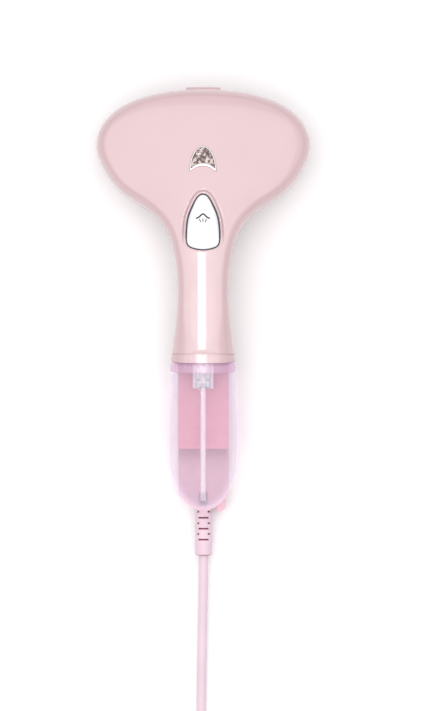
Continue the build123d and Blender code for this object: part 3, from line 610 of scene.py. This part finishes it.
def stroke(bm, points, width):
    """A thin line on the button, with round ends."""
    points = np.array(points, float)
    run = np.gradient(points, axis=0)
    run *= width / 2 / np.linalg.norm(run, axis=1)[:, None]
    across = np.column_stack([-run[:, 1], run[:, 0]])
    sides = [[bm.verts.new((*p, 1)) for p in points + across * s] for s in (1, -1)]
    for n in range(len(points) - 1):
        bm.faces.new((sides[0][n], sides[1][n], sides[1][n + 1], sides[0][n + 1]))
    for n, way in ((0, -1), (-1, 1)):
        turn = np.linspace(0, pi, 8)[1:-1]
        round_end = [points[n] + across[n] * cos(a) + way * run[n] * sin(a) for a in turn]
        bm.faces.new([sides[0][n], *[bm.verts.new((*p, 1)) for p in round_end], sides[1][n]])


# The usual steam symbol: a garment's shoulders over three jets
SYMBOL_Y = BUTTON_Y + 2.5
SHOULDERS = [(-4.4, 0), (-2.6, 0.9), (0, 2.9), (2.6, 0.9), (4.4, 0)]
JETS = [((-2.4, -0.6), (-1.5, -2.6)), ((0, -0.2), (0, -2.6)), ((2.4, -0.6), (1.5, -2.6))]
PRINT = 0.03  # thickness of the print
symbol = bmesh.new()
stroke(symbol, curve_through(SHOULDERS, (0.9, 0.45), (0.9, -0.45), 25) + (0, SYMBOL_Y), 1.15)
for start, end in JETS:
    stroke(symbol, np.linspace(start, end, 4) + (0, SYMBOL_Y), 0.7)
for v in symbol.verts:
    level = button_level(np.array([(v.co.x, v.co.y)]))[0]
    v.co = Vector((v.co.x, v.co.y, level + PRINT)) * MM
bmesh.ops.recalc_face_normals(symbol, faces=symbol.faces)
mark = piece("button_symbol", symbol)
finish_piece(mark, "button", "dark_plastic", MATERIALS["dark_plastic"])

# A dark ring down in the gap round the button: painted shade for the shadow in that gap.
gap_shade_mesh = bmesh.new()
inner, outer = button_loop(0.15), button_loop(GAP + 0.3)
GAP_SHADE_TOP, GAP_SHADE_FOOT = -1.2, -2.0
gap_shade_loops = [(inner, GAP_SHADE_FOOT), (inner, GAP_SHADE_TOP), (outer, GAP_SHADE_TOP), (outer, GAP_SHADE_FOOT)]
add_wall(gap_shade_mesh, [at_height(loop, button_level(loop, level, 0.0)) for loop, level in gap_shade_loops])
gap_shade_ring = closed_piece("button_gap_shade", gap_shade_mesh)
finish_piece(gap_shade_ring, "housing", "dark_plastic", MATERIALS["dark_plastic"])

# ---- Window: a silver trim, wider along its foot, and a cut pane ----
TRIM = [  # growth of the window's outline, lift of its foot, and height over the cover
    (-0.1, 0, -2.2), (-0.1, 0, -0.1), (-0.22, 0, 0.12), (-0.45, 0, 0.2), (-0.65, 0.9, 0.12),
    (-0.85, 1.3, -0.3), (-0.9, 1.35, -2.2),
]
trim = bmesh.new()
add_wall(trim, [at_height(window_loop(grow, foot), window_height + z) for grow, foot, z in TRIM])
ring = closed_piece("window_trim", trim, 60)
finish_piece(ring, "housing", "silver_trim", MATERIALS["silver_trim"], "indicator_frame")

PANE_DEPTH = 0.75  # below the cover's top
UNEVEN = 0.5  # how much the facets' corners stray, sideways and upwards
lens = bmesh.new()
pane = window_loop(-0.92, 1.3)
rng = np.random.default_rng(7)
found, faces = filled(pane[::2], [], [], 1.05)
shift = (rng.random(found.shape) - 0.5) * UNEVEN * (away(found, pane) > 0.3)[:, None]
found = found + shift
rise = rng.random(len(found)) * UNEVEN * (away(found, pane) > 0.3)
add_fill(lens, found, faces, window_height - PANE_DEPTH + rise)
glass = piece("window_pane", lens)
applied(glass, "SOLIDIFY", thickness=1.2 * MM, offset=-1.0)
glass.data.shade_flat()
finish_piece(glass, "housing", "smoked_clear", MATERIALS["smoked_clear"], "indicator_lens")

# ---- Strain relief: a rubber sleeve with narrow slots, side ones and middle ones in turn ----
RELIEF_Z, RELIEF_START, RELIEF_END = 8.6, -138.0, -177.3
relief_low, relief_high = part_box("strain_relief")
RELIEF_R = min(5.9, (relief_high.x - relief_low.x) / MM / 2)
SIDE_SLOTS = (-146.9, -154.9, -162.4)
MIDDLE_SLOTS = (-151.1, -158.7, -166.3)
SLOT_DEPTH, SLOT_FOOT, SLOT_MOUTH = 1.6, 0.42, 0.6  # depth, and half widths at the bottom and at the top
relief_angles = np.radians(np.arange(0, 360, 5))
upright = np.abs(np.cos(relief_angles))  # 1 at the top and bottom, 0 at the sides
SLOT_CUTS = {"side": upright < cos(radians(32)), "middle": upright > cos(radians(38)), None: upright < 0}
# Each step is a place on y, how far in the sleeve's side is there, and the kind of slot
steps = [(RELIEF_START, RELIEF_R, None), (RELIEF_START - 0.01, 0, None)]
for y in sorted(SIDE_SLOTS + MIDDLE_SLOTS, reverse=True):
    kind = "side" if y in SIDE_SLOTS else "middle"
    steps += [(y + SLOT_MOUTH, 0, None), (y + SLOT_FOOT, 0, kind)]
    steps += [(y - SLOT_FOOT, 0, kind), (y - SLOT_MOUTH, 0, None)]
steps += [(-176.2, 0, None), (-176.8, 0.2, None), (-177.2, 0.7, None), (RELIEF_END, 1.3, None)]
steps += [(RELIEF_END, RELIEF_R, None)]
relief = bmesh.new()
rows = []
for y, inset, kind in steps:
    radii = RELIEF_R - inset - np.where(SLOT_CUTS[kind], SLOT_DEPTH, 0)
    rows.append(turn_ring(0, y, RELIEF_Z, radii, relief_angles))
add_wall(relief, rows)
sleeve = closed_piece("strain_relief_sleeve", relief)
sleeve_rubber = moulded("sleeve_pink_rubber", (0.74, 0.545, 0.63), 0.45, grain=1500.0, relief=0.2)
# The slots' bottoms are painted dark red-brown: painted shade.
deep = (RELIEF_R - 0.6) * MM  # the slots' bottoms lie in deep shade
two_tone(sleeve_rubber, round_y(sleeve_rubber, RELIEF_Z * MM), (0.30, 0.07, 0.11), deep, deep + 0.3 * MM)
finish_piece(sleeve, "housing", "cord_pink", sleeve_rubber, "strain_relief")

# ---- Plug: a turned rubber body with a ringed neck and a ribbed grip ----
plug_low, plug_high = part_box("plug_body")
PLUG_X, PLUG_Z = (plug_low.x + plug_high.x) / 2 / MM, (plug_low.z + plug_high.z) / 2 / MM
PLUG_START, PLUG_FACE, PLUG_R = plug_high.y / MM, plug_low.y / MM, (plug_high.z - plug_low.z) / 2 / MM
PLUG_LENGTH = PLUG_START - PLUG_FACE
GRIP_R = PLUG_R - 0.3
NECK_SIDE = [(0, 4.0), (0.8, 5.0), (8, 5.2), (16, 6.0), (20.5, 9.5), (25.5, 15), (31, 17.6), (37, GRIP_R)]
NECK_RINGS, RING_DEPTH, RING_WIDTH = (3, 5.6, 8.2, 10.8, 13.4), 0.8, 0.55
RIBS, RIB_DEPTH = 24, 1.1
plug_angles = np.linspace(0, 2 * pi, 6 * RIBS, endpoint=False)
plug_rows = [(0, 0.0, 0)]  # distance from the plug's start, radius, and 1 where it is ribbed
plug_rows += [(distance, radius, 0) for distance, radius in curve_through(NECK_SIDE, (0.3, 1), (1, 0.05), 70)]
plug_rows += [(38, GRIP_R, 0), (39, GRIP_R, 1), (53, GRIP_R, 1), (54, GRIP_R, 0), (55.5, GRIP_R, 0)]
plug_rows += [(55.9, PLUG_R, 0), (59.6, PLUG_R, 0), (60.5, PLUG_R - 0.3, 0), (60.9, PLUG_R - 0.9, 0)]
plug_rows += [(PLUG_LENGTH, PLUG_R - 1.6, 0), (PLUG_LENGTH, 0, 0)]
plug = bmesh.new()
rows = []
for distance, radius, ribbed in plug_rows:
    neck = RING_DEPTH * sum(np.exp(-(((distance - ring) / RING_WIDTH) ** 2)) for ring in NECK_RINGS)
    radii = max(0.0, radius - neck) - ribbed * RIB_DEPTH / 2 * (1 + np.cos(RIBS * plug_angles))
    rows.append(turn_ring(PLUG_X, PLUG_START - distance, PLUG_Z, radii, plug_angles))
add_wall(plug, rows)
plug_piece = closed_piece("mains_plug_body", plug, 50)
finish_piece(plug_piece, "housing", "cord_pink", MATERIALS["cord_pink"], "plug_body")

# ---- Tie: a soft strap round the coil ----
STRAP = 1.3  # its thickness
STRAP_SECTION = [  # share of the thickness, and of half the width
    (0, -1), (0.25, -1), (0.9, -0.94), (1, -0.8), (1, 0.8), (0.9, 0.94), (0.25, 1), (0, 1),
]
tie_low, tie_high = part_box("cord_tie")
tie_middle, tie_half = (tie_low + tie_high) / 2 / MM, (tie_high - tie_low) / 2 / MM
strap = bmesh.new()
sections = []
for t in np.linspace(0, 2 * pi, 72, endpoint=False):
    way = np.array((cos(t), sin(t)))
    reach = 1 / np.sum(np.abs(way) ** 5) ** 0.2  # a square with soft corners
    outer = way * reach * (tie_half.x, tie_half.z)
    inner = way * reach * (tie_half.x - STRAP, tie_half.z - STRAP)
    ring = []
    for share, across in STRAP_SECTION:
        spot = inner + (outer - inner) * share
        ring.append((tie_middle.x + spot[0], tie_middle.y + across * tie_half.y, tie_middle.z + spot[1]))
    sections.append(ring)
add_wall(strap, [*sections, sections[0]])
tie = closed_piece("cord_strap", strap, 50)
weave = moulded("strap_fabric", (0.05, 0.05, 0.055), 0.85, vary=0.25, grain=2600.0, relief=0.6, sheen=0.4)
finish_piece(tie, "housing", "dark_plastic", weave, "cord_tie")

# ---- Mains cord: free lead, coil of nine turns and tail to the plug ----
CORD_R = 3.25 * MM
# The free stretches take the routes of the CAD's tubes
LEAD = [
    (0, -177.3, 8.6), (-0.3, -203, 7.8), (-1.0, -236, 5.0), (-1.6, -272, 3.4),
    (-1.9, -310, 3.25), (-2.0, -349, 3.35),
]
TAIL = [
    (-23.6, -324.4, 20.5), (-2, -328.2, 18.5), (19, -336, 16.6), (35, -349, 16.6), (43.3, -367, 17.8),
    (45, -386, 18.6),
]
coil_low, coil_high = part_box("cord_coil")
coil_middle = (coil_low + coil_high) / 2
TURN_STEPS = 16
TURN_GAP = 6.55 * MM  # between the turns of a layer
LAYER_GAP = 6.6 * MM
OUTER_TURN = 45.6 * MM  # radius of the outer turn of each layer
FIRST_LAYER = 3.35 * MM  # its height
# Three layers of three turns: inward, outward and inward again, and where the last turn would go on
turn_radii = [OUTER_TURN - TURN_GAP * n for n in (0, 1, 2, 2, 1, 0, 0, 1, 2, 2)]
turn_heights = [FIRST_LAYER + LAYER_GAP * layer for layer in (0, 0, 0, 1, 1, 1, 2, 2, 2, 2)]
widen = 8 / (6 + 2 * cos(2 * pi / TURN_STEPS))  # a spline of order 3 runs inside its points
TURNS = 8.56  # whole coil, whose last turn leaves part of the way round
STEP_OVER = 0.2  # the last part of a turn, in which the cord moves to the next


def on_coil(radius, angle, height):
    """A point at a radius and angle round the coil's middle."""
    return Vector((coil_middle.x + radius * cos(angle), coil_middle.y + radius * sin(angle), height))


def coil_point(turns):
    """A control point of the coil, at a number of turns from its start."""
    n = min(int(turns), len(turn_radii) - 2)
    step = smooth((turns - n - 1 + STEP_OVER) / STEP_OVER)
    radius = turn_radii[n] + (turn_radii[n + 1] - turn_radii[n]) * step
    height = turn_heights[n] + (turn_heights[n + 1] - turn_heights[n]) * step
    return on_coil(radius * widen, -2 * pi * turns, height)


coil_points = [coil_point(n / TURN_STEPS) for n in range(int(TURNS * TURN_STEPS) + 1)]
# The last stretch climbs over the top layer on its way out: share of a cord's thickness, angle and radius
CROSSING = [(0.3, 140, 34.5), (0.75, 118, 38.5), (1.0, 97, 43.5), (0.95, 78, 47.5)]
over = []
for share, angle, radius in CROSSING:
    over.append(on_coil(radius * MM, radians(angle), turn_heights[-1] + share * 2 * CORD_R))
# The tail's first point, where its tube meets the coil's solid, gives way to the crossing
route = [Vector(p) * MM for p in LEAD] + coil_points + over + [Vector(p) * MM for p in TAIL[1:]]

curve = bpy.data.curves.new("mains_cord", "CURVE")
curve.dimensions = "3D"
spline = curve.splines.new("NURBS")
spline.points.add(len(route) - 1)
for point, place in zip(spline.points, route):
    point.co = (*place, 1)
spline.order_u = 3
spline.use_endpoint_u = True
curve.resolution_u = 6
curve.bevel_depth = CORD_R
curve.bevel_resolution = 5
curve.use_fill_caps = True
mains_cord = bpy.data.objects.new("mains_cord", curve)
bpy.context.scene.collection.objects.link(mains_cord)
cord_rubber = MATERIALS["cord_pink"]
finish_piece(mains_cord, "housing", "cord_pink", cord_rubber, "cord_lead", "cord_tail", "cord_coil")

# ---- Floor, lights and camera ----
floor_bm = bmesh.new()
bmesh.ops.create_grid(floor_bm, x_segments=1, y_segments=1, size=6.0)
floor = piece("floor", floor_bm)
floor_material, floor_tree, floor_shader = shader("floor_paint")
floor_shader.inputs["Base Color"].default_value = (0.93, 0.93, 0.93, 1)
floor_shader.inputs["Roughness"].default_value = 0.9
floor_shader.inputs["Specular IOR Level"].default_value = 0.1
floor.data.materials.append(floor_material)

world = bpy.data.worlds.new("studio")
bpy.context.scene.world = world
world.use_nodes = True
sky = world.node_tree
background = sky.nodes["Background"]
place = sky.nodes.new("ShaderNodeTexCoord")
split = sky.nodes.new("ShaderNodeSeparateXYZ")
sky.links.new(place.outputs["Generated"], split.inputs["Vector"])
glow = ramp(sky, split.outputs["Z"], (0.48, 0.48, 0.49), (1.0, 1.0, 1.0), 0.05, 0.75)
sky.links.new(glow, background.inputs["Color"])
background.inputs["Strength"].default_value = 1.0


def area_light(name, place, aim, size, power):
    """A soft rectangular studio light that points at aim."""
    data = bpy.data.lights.new(name, "AREA")
    data.shape = "RECTANGLE"
    data.size, data.size_y = size
    data.energy = power
    made = bpy.data.objects.new(name, data)
    bpy.context.scene.collection.objects.link(made)
    made.location = place
    made.rotation_euler = (Vector(aim) - Vector(place)).to_track_quat("-Z", "Y").to_euler()
    made.visible_camera = False
    return made


area_light("overhead", (-0.15, 0.0, 1.7), (0, 0, 0), (2.0, 2.0), 17.0)
STRIP_X, STRIP_Y = -0.0035, -0.0125
grip_strip = area_light("grip_strip", (STRIP_X, STRIP_Y, 0.30), (STRIP_X, STRIP_Y, 0), (0.008, 0.065), 0.03)
grip_strip.visible_diffuse = False  # it only draws the long highlight on the grip

# The photograph is taken from almost straight above, from far away
camera_data = bpy.data.cameras.new("camera")
camera = bpy.data.objects.new("camera", camera_data)
bpy.context.scene.collection.objects.link(camera)
AIM = Vector((0.0050, -0.0384, 0.033))
TILT_X, TILT_Y = radians(0.4), radians(-0.9)
DISTANCE = 3.0
back = Vector((sin(TILT_X), sin(TILT_Y), 1)).normalized()
camera.location = AIM + back * DISTANCE
side = Vector((0, 1, 0)).cross(back).normalized()
up = back.cross(side)
camera.rotation_mode = "QUATERNION"
camera.rotation_quaternion = Matrix((side, up, back)).transposed().to_quaternion()
camera_data.sensor_width = 36
camera_data.lens = 219.4
bpy.context.scene.camera = camera
bpy.context.scene.view_settings.view_transform = "Standard"
